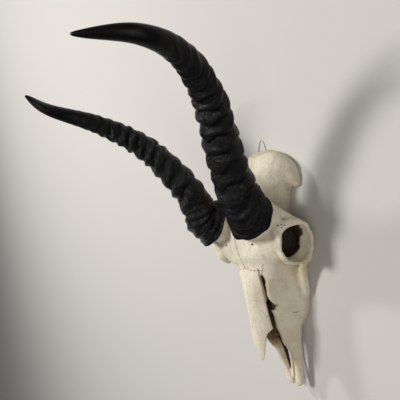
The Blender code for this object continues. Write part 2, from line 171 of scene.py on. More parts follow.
# Premaxilla and its inner spine: y, middle x, middle height, half width, half height
PREMAXILLA = [
    (-109.5, 10.5, 15.0, 2.5, 9.8), (-114.0, 10.0, 13.8, 2.7, 8.8), (-118.0, 9.6, 12.8, 2.7, 7.6),
    (-124.0, 9.0, 11.7, 2.6, 6.4), (-134.0, 7.9, 10.8, 2.7, 4.6), (-143.0, 6.4, 10.6, 3.0, 3.5),
    (-149.5, 5.0, 10.7, 3.3, 2.9), (-152.9, 4.2, 10.9, 2.2, 1.7),
]
PALATE_SPINE = [
    (-112.0, 2.2, 8.2, 1.2, 1.2), (-122.0, 2.1, 8.6, 1.2, 1.4),
    (-136.0, 2.1, 9.2, 1.3, 1.6), (-147.0, 3.0, 10.2, 2.2, 2.0),
]

CORD_DIAMETER = 1.0
CORD_ROUTE = [
    (-6.5, 46.0, 2.6), (-7.6, 50.5, 1.5), (-7.4, 56.0, 0.62), (-5.8, 61.5, 0.56),
    (-3.4, 66.5, 0.56), (-1.6, 70.0, 0.56), (0.4, 72.2, 0.56), (2.6, 71.2, 0.56),
    (3.4, 67.5, 0.56), (4.2, 62.0, 0.56), (5.2, 56.5, 0.62), (5.8, 51.0, 1.5),
    (5.4, 46.5, 2.6),
]

# Camera: place in millimetres, and the way to its right, up and back
CAMERA_PLACE = (267.8, 21.4, 266.6)
CAMERA_YAW, CAMERA_PITCH, CAMERA_ROLL = (math.radians(a) for a in (55.09, -0.88, -10.23))
CAMERA_LENS = CAMERA_SENSOR = 36.0

# Area lights: name, place in metres, power, side in metres, colour
LIGHTS = [
    ("key", (-0.35, 0.35, 1.10), 9.5, 0.24, (1.0, 0.98, 0.95)),
    ("side", (-1.10, 0.95, 0.95), 10.0, 0.17, (1.0, 0.99, 0.97)),
    ("front", (0.80, -0.30, 0.85), 3.2, 0.7, (1.0, 0.97, 0.92)),
]
FLOOR_COLOUR = (0.58, 0.565, 0.54, 1.0)
WORLD_COLOUR, WORLD_STRENGTH = (0.62, 0.61, 0.60, 1.0), 0.30

# Small holes painted into the bone's colour and bump, all running one way (DRILL): x, y, z and
# radius
DRILL = (0.820, -0.015, 0.572)
HOLES = [
    (43.4, -4.1, 41.7, 0.7), (44.7, -3.9, 39.3, 0.65), (44.3, -4.7, 35.9, 0.65),
    (45.4, -6.1, 40.0, 0.6), (19.2, -83.0, 17.2, 0.5), (19.8, -83.2, 16.0, 0.55),
    (20.3, -83.4, 14.7, 0.55), (20.8, -83.4, 13.4, 0.5), (17.2, -17.4, 47.9, 1.0),
]


def mm(points):
    """Points of the tables in metres, about the part's origin."""
    return (np.asarray(points, float) - (0.0, CENTRE_Y, 0.0)) * 0.001


def unit(vector):
    """The vector at length 1."""
    vector = np.asarray(vector, float)
    return vector / np.linalg.norm(vector)


def ramp(low, high, value):
    """Smooth step from 0 at low to 1 at high."""
    t = np.clip((value - low) / (high - low), 0, 1)
    return t * t * (3 - 2 * t)


def smooth_line(points, count):
    """Evenly spaced points of a Catmull-Rom curve through the given points."""
    p = np.array(points, float)
    p = np.vstack([2 * p[0] - p[1], p, 2 * p[-1] - p[-2]])
    dense = []
    for i in range(1, len(p) - 2):
        t = np.linspace(0, 1, 40, endpoint=False)[:, None]
        a, b, c, d = p[i - 1], p[i], p[i + 1], p[i + 2]
        dense.append(0.5 * (2 * b + (c - a) * t + (2 * a - 5 * b + 4 * c - d) * t ** 2
                            + (3 * b - a - 3 * c + d) * t ** 3))
    dense = np.vstack(dense + [p[-2:-1]])
    steps = np.linalg.norm(np.diff(dense, axis=0), axis=1)
    run = np.concatenate([[0], np.cumsum(steps)])
    at = np.linspace(0, run[-1], count)
    return np.stack([np.interp(at, run, dense[:, i]) for i in range(dense.shape[1])], axis=1)


def add_piece(name, vertices, faces, finish, nodes, uv=None, fields=()):
    """A smooth mesh piece of the object, in metres, with float fields per vertex."""
    mesh = bpy.data.meshes.new(name)
    mesh.from_pydata(vertices.tolist(), [], faces)
    mesh.validate()
    mesh.shade_smooth()
    if uv is not None:
        layer = mesh.uv_layers.new(name="UVMap")
        corner = np.empty(len(mesh.loops), int)
        mesh.loops.foreach_get("vertex_index", corner)
        layer.data.foreach_set("uv", uv[corner].astype(np.float32).ravel())
    for field, values in fields:
        attribute = mesh.attributes.new(field, "FLOAT", "POINT")
        attribute.data.foreach_set("value", values.astype(np.float32))
    mesh.materials.append(finish)
    piece = bpy.data.objects.new(name, mesh)
    bpy.context.scene.collection.objects.link(piece)
    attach(piece, "root")
    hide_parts(*nodes)
    return piece


def closed_rings(rings):
    """Vertices and faces of a tube over rings (rows, columns, 3), ends closed by a point."""
    rows, columns = rings.shape[:2]
    ends = rings[[0, -1]].mean(axis=1)
    vertices = np.concatenate([rings.reshape(-1, 3), ends])
    r, c = np.meshgrid(np.arange(rows - 1), np.arange(columns), indexing="ij")
    n = (c + 1) % columns
    quads = np.stack([r * columns + c, r * columns + n, (r + 1) * columns + n,
                      (r + 1) * columns + c], axis=-1).reshape(-1, 4)
    k = np.arange(columns)
    m = (k + 1) % columns
    first, last = rows * columns, rows * columns + 1
    low = np.stack([m, k, np.full(columns, first)], axis=1)
    high = np.stack([k, m, np.full(columns, last)], axis=1)
    high[:, :2] += (rows - 1) * columns
    faces = quads.tolist() + low.tolist() + high.tolist()
    return vertices, faces


def outward(vertices, faces):
    """The faces, turned round if the closed body they bound has negative volume."""
    volume = 0.0
    for size in (3, 4):
        part = np.array([f for f in faces if len(f) == size])
        if len(part):
            p = vertices[part]
            for k in range(1, size - 1):
                volume += np.einsum("ij,ij->i", p[:, 0], np.cross(p[:, k], p[:, k + 1])).sum()
    return faces if volume > 0 else [f[::-1] for f in faces]


class Field:
    """Sampling grid of the skull's left half and the forms on it, in millimetres."""

    LOW, HIGH = (0.0, -117.0, -3.0), (57.0, 66.0, 63.0)

    def __init__(self, step):
        self.step = step
        self.axes = [np.arange(a, b + step, step) for a, b in zip(self.LOW, self.HIGH)]
        self.x, self.y, self.z = np.meshgrid(*self.axes, indexing="ij", sparse=True)

    def ovals(self, table, inset=0.0):
        """Brain case: |x/w|^p + |z/h|^p = 1 with w and h running along y."""
        y, w, h = (np.array(column)[::-1] for column in zip(*table))
        at = self.axes[1]
        dense = smooth_line(np.stack([y, w, h], axis=1), 200)
        w = np.interp(at, dense[:, 0], dense[:, 1])[None, :, None] - inset
        h = np.interp(at, dense[:, 0], dense[:, 2])[None, :, None] + BRAIN_BELOW - inset
        across = np.abs(self.x / w) ** BRAIN_SQUARE
        up = np.abs((self.z + BRAIN_BELOW) / h) ** BRAIN_SQUARE
        reach = (across + up) ** (1 / BRAIN_SQUARE)
        inside = (reach - 1) * np.minimum(w, h)
        slope = np.sqrt(sum(g * g for g in np.gradient(inside, self.step)))
        inside = inside / np.maximum(slope, 0.25)
        return np.maximum(inside, np.maximum(y[0] - self.y, self.y - y[-1]))

    def outline(self, table):
        """Distance to closed outlines that run along y, measured within each slice."""
        y = np.array([row[0] for row in table])[::-1]
        knots = np.array([np.ravel(row[1]) for row in table])[::-1]
        dense = smooth_line(np.column_stack([y, knots]), 240)
        gx, gz = np.meshgrid(self.axes[0], self.axes[2], indexing="ij")
        out = np.empty(np.broadcast(self.x, self.y, self.z).shape)
        for j, at in enumerate(self.axes[1]):
            inside_y = np.clip(at, y[0], y[-1])
            half = np.array([np.interp(inside_y, dense[:, 0], dense[:, 1 + k])
                             for k in range(knots.shape[1])]).reshape(-1, 2)
            ring = np.concatenate([half, (half * (-1, 1))[::-1]])
            for _ in range(2):
                after = np.roll(ring, -1, axis=0)
                ring = np.stack([0.75 * ring + 0.25 * after, 0.25 * ring + 0.75 * after],
                                axis=1).reshape(-1, 2)
            beyond = max(y[0] - at, at - y[-1], 0.0)
            out[:, j, :] = polygon_distance(gx, gz, ring) if beyond < 12 else 12.0
            if beyond > 0:
                out[:, j, :] = np.maximum(out[:, j, :], beyond)
        return out

    def limb(self, points, radii, count=22):
        """Swept ball whose radius runs along a smooth line."""
        line = smooth_line(np.column_stack([points, radii]), count)
        out = np.full(np.broadcast(self.x, self.y, self.z).shape, 1e3)
        for a, b in zip(line, line[1:]):
            d = b[:3] - a[:3]
            px, py, pz = self.x - a[0], self.y - a[1], self.z - a[2]
            t = np.clip((px * d[0] + py * d[1] + pz * d[2]) / (d @ d), 0, 1)
            gap = np.sqrt((px - t * d[0]) ** 2 + (py - t * d[1]) ** 2 + (pz - t * d[2]) ** 2)
            out = np.minimum(out, gap - (a[3] + t * (b[3] - a[3])))
        return out

    def socket(self, levels):
        """Funnel along the eye socket's axis, with the depth in it and the place along it."""
        along, up = unit(EYE_ALONG), unit(EYE_UP)
        out = np.cross(along, up)
        px, py, pz = (g - c for g, c in zip((self.x, self.y, self.z), EYE_CENTRE))
        depth = -(px * out[0] + py * out[1] + pz * out[2])
        a = px * along[0] + py * along[1] + pz * along[2]
        b = px * up[0] + py * up[1] + pz * up[2]
        at, part, rise = zip(*levels)
        size = np.interp(depth, at, part)
        b = b - np.interp(depth, at, rise)
        reach = (np.abs(a / (EYE_RADII[0] * size)) ** EYE_SQUARE
                 + np.abs(b / (EYE_RADII[1] * size)) ** EYE_SQUARE) ** (1 / EYE_SQUARE)
        side = (reach - 1) * EYE_RADII[1] * size
        return np.maximum(side, np.maximum(at[0] - depth, depth - at[-1])), depth, a

    def channel(self, table, top):
        """Box-like channel along y: half width and floor from the table, up to top."""
        y, w, low = (np.array(column)[::-1] for column in zip(*table))
        w = np.interp(self.axes[1], y, w)[None, :, None]
        low = np.interp(self.axes[1], y, low)[None, :, None]
        side = np.maximum(self.x - w, np.maximum(low - self.z, self.z - top))
        return np.maximum(side, np.maximum(y[0] - self.y, self.y - y[-1]))

    def slit(self, table, low):
        """Upright slot along y, between the table's two lines, from low upwards."""
        y, inner, outer = (np.array(column)[::-1] for column in zip(*table))
        inner = np.interp(self.axes[1], y, inner)[None, :, None]
        outer = np.interp(self.axes[1], y, outer)[None, :, None]
        side = np.maximum(np.maximum(inner - self.x, self.x - outer), low - self.z)
        return np.maximum(side, np.maximum(y[0] - self.y, self.y - y[-1]))

    def stump(self):
        """Pedicle: a cone of oval section along the seat's normal, up to the seat."""
        normal = unit(HORN_SEAT_NORMAL)
        across = unit(np.cross(normal, (0, 1, 0)))
        along = np.cross(normal, across)
        px, py, pz = (g - c for g, c in zip((self.x, self.y, self.z), HORN_PATH[0]))
        rise = px * normal[0] + py * normal[1] + pz * normal[2]
        a = px * across[0] + py * across[1] + pz * across[2]
        b = px * along[0] + py * along[1] + pz * along[2]
        size = np.interp(rise, (-16.0, -5.0, 0.0), (0.84, 0.90, 0.93))
        wide, deep = (r + f for r, f in zip(HORN_RADIUS, HORN_FLARE))
        reach = np.sqrt((a / (wide * size)) ** 2 + (b / (deep * size)) ** 2)
        return np.maximum((reach - 1) * deep * size, np.maximum(rise, -16.0 - rise))


def polygon_distance(gx, gz, ring):
    """Signed distance of a grid of points to a closed polygon, negative inside."""
    p = np.stack([gx.ravel(), gz.ravel()], axis=1)
    a = ring
    b = np.roll(ring, -1, axis=0)
    d = b - a
    length = np.maximum((d * d).sum(axis=1), 1e-9)
    px = p[:, 0, None] - a[None, :, 0]
    pz = p[:, 1, None] - a[None, :, 1]
    t = np.clip((px * d[:, 0] + pz * d[:, 1]) / length, 0, 1)
    gap = np.sqrt(((px - t * d[:, 0]) ** 2 + (pz - t * d[:, 1]) ** 2).min(axis=1))
    crosses = (a[None, :, 1] > p[:, 1, None]) != (b[None, :, 1] > p[:, 1, None])
    rise = np.where(np.abs(d[:, 1]) < 1e-9, 1e-9, d[:, 1])
    left = p[:, 0, None] < a[None, :, 0] + (p[:, 1, None] - a[None, :, 1]) * d[:, 0] / rise
    inside = (crosses & left).sum(axis=1) % 2 == 1
    return np.where(inside, -gap, gap).reshape(gx.shape)


def melt(a, b, width):
    """Union of two fields with a fillet of about the given width."""
    h = np.maximum(width - np.abs(a - b), 0) / width
    return np.minimum(a, b) - h * h * width * 0.25


def carve(a, b, width):
    """Field a without b, with the edge rounded over the given width."""
    return -melt(-a, b, width)


def skull_field(step):
    """The sawn skull's left half over the grid: its form, and the painted shade in its hollows and
    in its creases.
    """
    f = Field(step)
    body = melt(f.ovals(BRAIN_CASE), f.outline(FOREHEAD), 5.0)
    for form, fillet in (
            (f.outline(MUZZLE), 5.0), (f.limb(*ARCH_ROOT), 9.0), (f.stump(), 3.5),
            (f.limb(*EYE_BAR), 5.0), (f.socket(EYE_SHELL)[0], 4.0), (f.limb(*BROW), 4.0),
            (f.limb(*CHEEK_RIDGE), 6.0), (f.limb(*NAPE_RIDGE), 2.5)):
        body = melt(body, form, fillet)
    # painted shade for the creases of the surface
    crease_shades = painted_crease_shade(body)

    eye, depth, along = f.socket(EYE_HOLLOW)
    nose = f.channel(NOSE_PASSAGE, 60.0)
    slit = f.slit(SLIT, 26.0)
    brain = np.maximum(f.ovals(BRAIN_CASE, BRAIN_THICKNESS),
                       np.maximum(BRAIN_HOLLOW[0] - f.y, f.y - BRAIN_HOLLOW[1]))
    radius, flattening, start = NECK_OPENING
    neck = np.maximum(np.sqrt(f.x ** 2 + (f.z * flattening) ** 2) - radius, start - f.y)
    for hollow, edge in ((f.limb(*FOREHEAD_DENT), 2.0), (eye, 1.6), (nose, 1.0), (slit, 0.8),
                         (brain, 2.0), (neck, 1.0)):
        body = carve(body, hollow, edge)
    for form, fillet in ((f.limb(*TEMPLE), 3.5), (f.limb(*REAR_RIM), 3.0),
                         (f.limb(*FRONT_RIM), 3.5), (nose_plate(f), 0.8)):
        body = melt(body, form, fillet)
    body = np.maximum(body + unevenness(f), -f.z)
    return f, body, hollow_shade(f, eye, depth, along, nose, slit, brain), crease_shades


def unevenness(f):
    """Slow waves over the bone, a few tenths of a millimetre high."""
    return (0.15 * np.sin(0.31 * f.y + 0.23 * f.x) * np.sin(0.27 * f.z + 0.19 * f.y)
            + 0.10 * np.sin(0.71 * f.x + 0.4 * f.z) * np.sin(0.63 * f.y)
            + 0.07 * np.sin(1.7 * f.x + 0.9 * f.y) * np.sin(1.3 * f.z - 0.8 * f.y))


def hollow_shade(f, eye, depth, along, nose, slit, brain):
    """Painted shade: 1 deep in the eye socket, the nose and the brain case, where shade falls, and
    0 on the outer bone.
    """
    # the edge of the painted shade in the eye socket wavers like a broken bone edge
    broken = 0.7 * np.sin(0.55 * f.y) + 0.45 * np.sin(1.3 * f.y + 0.8 * f.z)
    edge = 9.6 - 0.42 * np.maximum(along, -1.0) + broken
    painted_shade = ramp(1.5, 0.9, eye) * ramp(edge - 0.5, edge + 0.6, depth)
    x, high = plate_rows(f)
    # the top edge of the nose plate is kept out of the painted shade
    unshaded_plate_top = ramp(1.8, 0.4, np.abs(f.x - x)) * ramp(high - 4.0, high - 1.5, f.z)
    unshaded_plate_top = unshaded_plate_top * ramp(-101.0, -95.0, f.y)
    below = np.interp(f.axes[1], *NOSE_ROOF)[None, :, None] - f.z
    inner = ramp(1.6, 0.5, np.minimum(nose, slit)) * ramp(0.3, 2.5, below) * (1 - 0.8 * unshaded_plate_top)
    # the painted shade in the nose is lighter in front, and fades out at its open front end
    front = 0.74 + 0.26 * ramp(-80.0, -74.0, f.y)
    painted_shade = np.maximum(painted_shade, inner * front * ramp(-125.0, -103.0, f.y))
    return np.maximum(painted_shade, ramp(1.5, 0.8, brain))


def painted_crease_shade(body, reach=3):
    """Painted shade: 1 in the hollows of the surface and 0 on its crests, from the field's bend."""
    bend = -6 * body
    for axis in range(3):
        bend = bend + np.roll(body, reach, axis) + np.roll(body, -reach, axis)
    return ramp(0.0, -2.2, bend)


def plate_rows(f):
    """Middle and top of the nose plate, along the grid's y."""
    y, x, high = (np.array(column)[::-1] for column in zip(*NOSE_PLATE))
    return [np.interp(f.axes[1], y, row)[None, :, None] for row in (x, high)]


def nose_plate(f):
    """Thin upright plate in the air passage."""
    x, high = plate_rows(f)
    plate = np.maximum(np.abs(f.x - x) - NOSE_PLATE_HALF,
                       np.maximum(f.z - high, NOSE_PLATE_FLOOR - f.z))
    return np.maximum(plate, np.maximum(NOSE_PLATE[-1][0] - f.y, f.y - NOSE_PLATE[0][0]))


def padded(values, axes, step):
    """A grid and its axes, grown by one step all round with places outside the body."""
    wide = [np.concatenate([[a[0] - step], a, [a[-1] + step]]) for a in axes]
    return np.pad(values, 1, constant_values=2.0), wide


def mirror_half(values):
    """Values of the left half with their mirror image before them."""
    return np.concatenate([values[:0:-1], values], axis=0)


def surface_net(values, axes):
    """Quads around every sign change of a sampled field, one vertex per cell.

    Each vertex is the mean of the crossings on the twelve edges of its cell.
    """
    shape = np.array(values.shape)
    cells = tuple(shape - 1)
    total = np.zeros(cells + (3,))
    count = np.zeros(cells)
    inside = values < 0
    for axis in range(3):
        low = [slice(None)] * 3
        high = [slice(None)] * 3
        low[axis], high[axis] = slice(0, -1), slice(1, None)
        a, b = values[tuple(low)], values[tuple(high)]
        cross = inside[tuple(low)] != inside[tuple(high)]
        t = np.where(cross, a / np.where(cross, a - b, 1.0), 0.0)
        u, v = [k for k in range(3) if k != axis]
        for du in (0, 1):
            for dv in (0, 1):
                # edge (i, j, k) along axis touches the cells at offsets -du, -dv
                pick = [slice(None)] * 3
                pick[u] = slice(0, -1) if du == 0 else slice(1, None)
                pick[v] = slice(0, -1) if dv == 0 else slice(1, None)
                c = cross[tuple(pick)]
                count += c
                total[..., axis] += np.where(c, t[tuple(pick)], 0)
                total[..., u] += c * du
                total[..., v] += c * dv
    used = count > 0
    index = np.full(cells, -1)
    index[used] = np.arange(used.sum())
    where = np.argwhere(used)
    offset = total[used] / count[used][:, None]
    spot = where + offset
    place = [np.interp(spot[:, k], np.arange(shape[k]), axes[k]) for k in range(3)]
    vertices = np.stack(place, axis=1)
    faces = []
    for axis in range(3):
        u, v = [(1, 2), (2, 0), (0, 1)][axis]
        low = [slice(1, -1)] * 3
        high = [slice(1, -1)] * 3
        low[axis], high[axis] = slice(0, -1), slice(1, None)
        a, b = inside[tuple(low)], inside[tuple(high)]
        base = np.argwhere(a != b)
        flip = a[a != b]
        start = base.copy()
        start[:, u] += 1
        start[:, v] += 1
        quad = []
        for du, dv in ((-1, -1), (0, -1), (0, 0), (-1, 0)):
            cell = start.copy()
            cell[:, u] += du
            cell[:, v] += dv
            quad.append(index[tuple(cell.T)])
        quad = np.stack(quad, axis=1)
        quad[~flip] = quad[~flip][:, ::-1]
        faces.append(quad)
    return vertices, np.concatenate(faces), spot


def sample(values, spot):
    """Trilinear values of a grid at places given in its own steps."""
    base = np.minimum(spot.astype(int), np.array(values.shape) - 2)
    t = spot - base
    out = 0.0
    for corner in np.ndindex(2, 2, 2):
        weight = np.prod(np.where(corner, t, 1 - t), axis=1)
        out = out + weight * values[tuple((base + corner).T)]
    return out


def horn_form(side):
    """Rings (rows, columns, 3) of a horn sheath, and its growth-ring height.

    The section's radii are r (1 - s)^taper + flare e^(-s/reach) + tip.  The
    growth rings follow the count in ring_height().
    """
    path = np.array(HORN_PATH) + side * np.array(HORN_SWAY)
    line = smooth_line(path, HORN_STEPS)
    tangents = np.gradient(line, axis=0)
    tangents /= np.linalg.norm(tangents, axis=1)[:, None]
    part = np.linspace(0, 1, HORN_ROWS) ** 1.05
    seat = unit(HORN_SEAT_NORMAL)
    angle = 2 * np.pi * np.arange(HORN_COLUMNS) / HORN_COLUMNS
    c, s = np.cos(angle), np.sin(angle)
    across = np.array((0.0, -1.0, 0.4))
    rings, heights, k = [], [], 0
    for along in part:
        stop = int(round(along * (HORN_STEPS - 1)))
        while True:
            tangent = tangents[k]
            across = unit(across - across @ tangent * tangent)
            if k >= stop:
                break
            k += 1
        ridge = ring_height(along, angle, side)
        body = (1 - along) ** HORN_TAPER
        flare = math.exp(-along / HORN_FLARE_REACH)
        high, wide = ((r * body + extra * flare + HORN_TIP_RADIUS) + ridge
                      for r, extra in zip(HORN_RADIUS, HORN_FLARE))
        blend = min(along / HORN_TURNING, 1) ** 0.8
        plane = unit((1 - blend) * seat + blend * tangent)
        over = unit(across - across @ plane * plane)
        lift = np.cross(plane, over)
        ring = line[k] + (wide * c)[:, None] * over + (high * s)[:, None] * lift
        lip = 0.5 * np.sin(3 * angle + side) + 0.35 * np.sin(7 * angle)
        ring += plane * (lip * math.exp(-along / 0.01))[:, None]
        if side < 0:
            swell, droop, way, reach = FAR_BASE
            near = np.maximum(np.cos(angle - math.radians(way)), 0) ** 1.5
            near *= math.exp(-(along / reach) ** 2)
            outwards = unit_rows(ring - line[k])
            ring += (swell * near)[:, None] * outwards - (droop * near)[:, None] * plane
        rings.append(ring)
        heights.append(ridge)
    return np.array(rings), np.array(heights), part, angle


def unit_rows(vectors):
    """Each row at length 1."""
    return vectors / np.linalg.norm(vectors, axis=1)[:, None]


def ring_height(along, angle, side):
    """Height of the growth rings in millimetres at one section, round the horn.

    Their count is a (s - start) + b (s - start)^2 with a and b from RING_PACE.
    It leans round the horn and wavers, and the rings fade out beyond the middle.
    """
    lean = 0.024 * np.cos(angle + 0.3) + 0.006 * np.sin(2 * angle + 9 * along + side)
    reach = along + lean - RING_START
    count = RING_PACE[0] * reach + RING_PACE[1] * reach ** 2
    count = count + 0.10 * np.sin(3 * angle + 4.0 * count) + 0.06 * np.sin(5 * angle - 2.3 * count)
    whole = np.floor(count)
    phase = (count - whole) ** 0.78
    arc = np.sin(np.pi * phase)
    bulge = 0.55 * arc ** 0.6 + 0.45 * arc ** 3
    fade = ramp(0.80, 0.44, along) * (0.45 + 0.55 * ramp(0.02, 0.14, along))
    size = (2.5 + 0.4 * np.cos(angle) + 0.5 * np.sin(2.3 * whole + 1.0 + side)) * fade
    fine = (0.13 * np.sin(2 * np.pi * (count * 3.5 + 0.35 * np.sin(4 * angle)))
            + 0.05 * np.sin(2 * np.pi * count * 8 + 3 * np.sin(3 * angle))) * fade
    crowd = (0.75 * np.sin(2 * np.pi * (along + 0.5 * lean) * 46 + 1.8 * np.sin(2 * angle + side))
             + 0.30 * np.sin(7 * angle + 90 * along))
    crowd = crowd * ramp(0.17, 0.03, along)
    return size * (bulge - 0.60) + fine + crowd


class Sockets:
    """A shader value with arithmetic on it, so that maps read as formulas."""

    tree = None

    def __init__(self, socket):
        self.socket = socket

    @classmethod
    def node(cls, kind, inputs=(), output=0, **settings):
        """The one place where nodes are made: settings are attributes, inputs by name."""
        made = cls.tree.nodes.new(kind)
        for key, value in settings.items():
            setattr(made, key, value)
        for key, value in (inputs.items() if isinstance(inputs, dict) else enumerate(inputs)):
            if isinstance(value, Sockets):
                cls.tree.links.new(value.socket, made.inputs[key])
            else:
                made.inputs[key].default_value = value
        return cls(made.outputs[output])

    def maths(self, operation, *others):
        return Sockets.node("ShaderNodeMath", (self,) + others, operation=operation)

    def __add__(self, other):
        return self.maths("ADD", other)

    def __sub__(self, other):
        return self.maths("SUBTRACT", other)

    def __mul__(self, other):
        return self.maths("MULTIPLY", other)

    __radd__ = __add__
    __rmul__ = __mul__

    def __rsub__(self, other):
        return Sockets.node("ShaderNodeMath", (other, self), operation="SUBTRACT")

    def __abs__(self):
        return self.maths("ABSOLUTE")

    def smooth(self, low, high):
        """Smooth step, also with low above high."""
        return Sockets.node("ShaderNodeMapRange", {0: self, 1: low, 2: high, 3: 0.0, 4: 1.0},
                            interpolation_type="SMOOTHSTEP")

    def most(self, other):
        return self.maths("MAXIMUM", other)


def noise(scale, detail=3.0, rough=0.55, stretch=(1, 1, 1), vector=None):
    """Noise from 0 to 1 with scale cells to the metre, or to the unit of the vector."""
    start = vector or Sockets.node("ShaderNodeTexCoord", output=3)
    scaled = Sockets.node("ShaderNodeMapping", {0: start, 3: [s * scale for s in stretch]})
    return Sockets.node("ShaderNodeTexNoise", {0: scaled, 2: 1.0, 3: detail, 4: rough})


def coordinates():
    """Object coordinates in the tables' millimetres."""
    start = Sockets.node("ShaderNodeTexCoord", output=3)
    split = Sockets.node("ShaderNodeSeparateXYZ", (start,)).socket.node
    x, y, z = (Sockets(split.outputs[k]) * 1000.0 for k in range(3))
    return x, y + CENTRE_Y, z


def mix(a, b, factor):
    """Colour a to colour b, where either is a tuple or a socket."""
    pair = [v if isinstance(v, Sockets) else (*v, 1.0) for v in (a, b)]
    return Sockets.node("ShaderNodeMix", {0: factor, 6: pair[0], 7: pair[1]}, 2, data_type="RGBA")


def finish_material(colour, roughness, height, distance, **fixed):
    """Principled material of the tree under construction."""
    tree = Sockets.tree
    shader = tree.nodes["Principled BSDF"]
    for key, value in (("Base Color", colour), ("Roughness", roughness)):
        if isinstance(value, Sockets):
            tree.links.new(value.socket, shader.inputs[key])
        else:
            shader.inputs[key].default_value = value
    for key, value in fixed.items():
        shader.inputs[key.replace("_", " ")].default_value = value
    bump = Sockets.node("ShaderNodeBump", {"Strength": 1.0, "Distance": distance,
                                           "Height": height})
    tree.links.new(bump.socket, shader.inputs["Normal"])


def new_material(name):
    """A material with nodes, whose tree the next Sockets go into."""
    made = bpy.data.materials.new(name)
    made.use_nodes = True
    Sockets.tree = made.node_tree
    return made


def line_mark(distance, width):
    """1 on a line and 0 beside it, from the distance to it."""
    return abs(distance).smooth(width, width * 0.3)


def attribute(name):
    """A float field of the mesh."""
    return Sockets.node("ShaderNodeAttribute", output=2, attribute_name=name)


def stained(colour, *stains):
    """The colour under its stains, each a colour and the amount of it."""
    for stain, amount in stains:
        colour = mix(colour, stain, amount)
    return colour


def suture_marks(x, y, z):
    """1 on the seams between the bones of the face, less on hairline cracks."""
    waver = (noise(420.0, 2.0) - 0.5) * 3.2
    top = z.smooth(38.0, 42.0)
    midline = line_mark(x + waver, 0.5) * y.smooth(-39.0, -37.0) * y.smooth(-6.0, -10.0)
    crown = line_mark(y + 38.4 + abs(x) * 0.16 + waver * 1.3, 0.5) * abs(x).smooth(19.0, 16.0)
    crack = (line_mark(abs(x) - 19.0 - (y + 35.7) * 0.53 + waver * 0.4, 0.4)
             * y.smooth(-48.0, -46.0) * y.smooth(-34.0, -36.5))
    seams = (midline * top * 0.6).most(crown * top * 0.4).most(crack * top * 0.8)
    hair = line_mark(noise(34.0, 2.0, 0.5, (1.0, 0.35, 0.6)) - 0.47, 0.006)
    hair = hair * noise(45.0, 1.0).smooth(0.50, 0.60)
    return seams.most(hair * 0.2)


def hole_marks(x, y, z):
    """1 in the small holes: stubs along the drill's way, on both sides of the skull."""
    holes = None
    for px, py, pz, r in HOLES:
        dx, dy, dz = abs(x) - px, y - py, z - pz
        deep = dx * DRILL[0] + dy * DRILL[1] + dz * DRILL[2]
        gap = (dx * dx + dy * dy + dz * dz - deep * deep).most(0.0).maths("SQRT")
        spot = gap.smooth(r, r * 0.5) * abs(deep).smooth(5.0, 4.0)
        holes = spot if holes is None else holes.most(spot)
    return holes


def bone_material(settings):
    """Ivory bone, with painted shade in tan and olive in the low places and brown to black in the
    hollows, with sutures and small holes.
    """
    made = new_material("weathered bone")
    x, y, z = coordinates()
    # painted shade of the hollows, from hollow_shade() and premaxilla_shade()
    painted_shade = attribute("painted_shade")
    broad = noise(28.0)
    mottled = noise(110.0, 4.0)
    fine = noise(650.0)
    streaks = noise(150.0, 3.0, 0.6, (1.0, 0.16, 0.5))
    specks = fine.smooth(0.58, 0.72) * streaks.smooth(0.42, 0.6)
    # painted shade: darker towards the sawn face at the bottom
    foot_shade = z.smooth(13.0, 0.0) * (0.45 + mottled * 0.5)
    cheek = (y.smooth(-28.0, -40.0) * y.smooth(-70.0, -45.0) * abs(x).smooth(24.0, 40.0)
             * broad.smooth(0.35, 0.6))
    crown = y.smooth(-2.0, 26.0) * streaks.smooth(0.35, 0.65)
    colour = stained(
        tuple(settings.bone_colour),
        ((0.55, 0.45, 0.30), broad.smooth(0.46, 0.74) * 0.55),
        ((0.50, 0.42, 0.29), streaks.smooth(0.48, 0.74) * 0.55),
        ((0.84, 0.80, 0.70), mottled.smooth(0.46, 0.72) * 0.55),
        # painted shade in the creases, tan
        ((0.42, 0.33, 0.20), attribute("painted_crease_shade") * (0.35 + mottled) * 0.62),
        # random specks, then the painted shade towards the sawn face
        ((0.44, 0.35, 0.22), specks * 0.35), ((0.46, 0.38, 0.25), foot_shade * 0.6),
        ((0.56, 0.46, 0.23), cheek * 0.5), ((0.60, 0.54, 0.42), crown * 0.4))

    seams, holes = suture_marks(x, y, z), hole_marks(x, y, z)
    pores = (noise(900.0, 1.0, 0.4).smooth(0.68, 0.76) * noise(70.0, 1.0).smooth(0.5, 0.6)
             * y.smooth(34.0, 42.0))
    marks = seams.most(holes).most(pores * 0.8)
    colour = stained(
        colour, ((0.20, 0.135, 0.075), seams * 0.75),
        ((0.045, 0.028, 0.018), holes.most(pores * 0.7)),
        # painted shade: brown, then near black deep in the eye socket, the nose, the brain case and
        # the premaxillae's cleft
        ((0.30, 0.19, 0.08), painted_shade.smooth(0.0, 0.5) * 0.9),
        ((0.020, 0.011, 0.006), painted_shade.smooth(0.45, 0.95)))
    height = mottled * 0.55 + fine * 0.42 + broad * 0.5 + streaks * 0.25 - marks * 0.8
    finish_material(colour, 0.50 + mottled * 0.24, height, 0.0014)
    return made


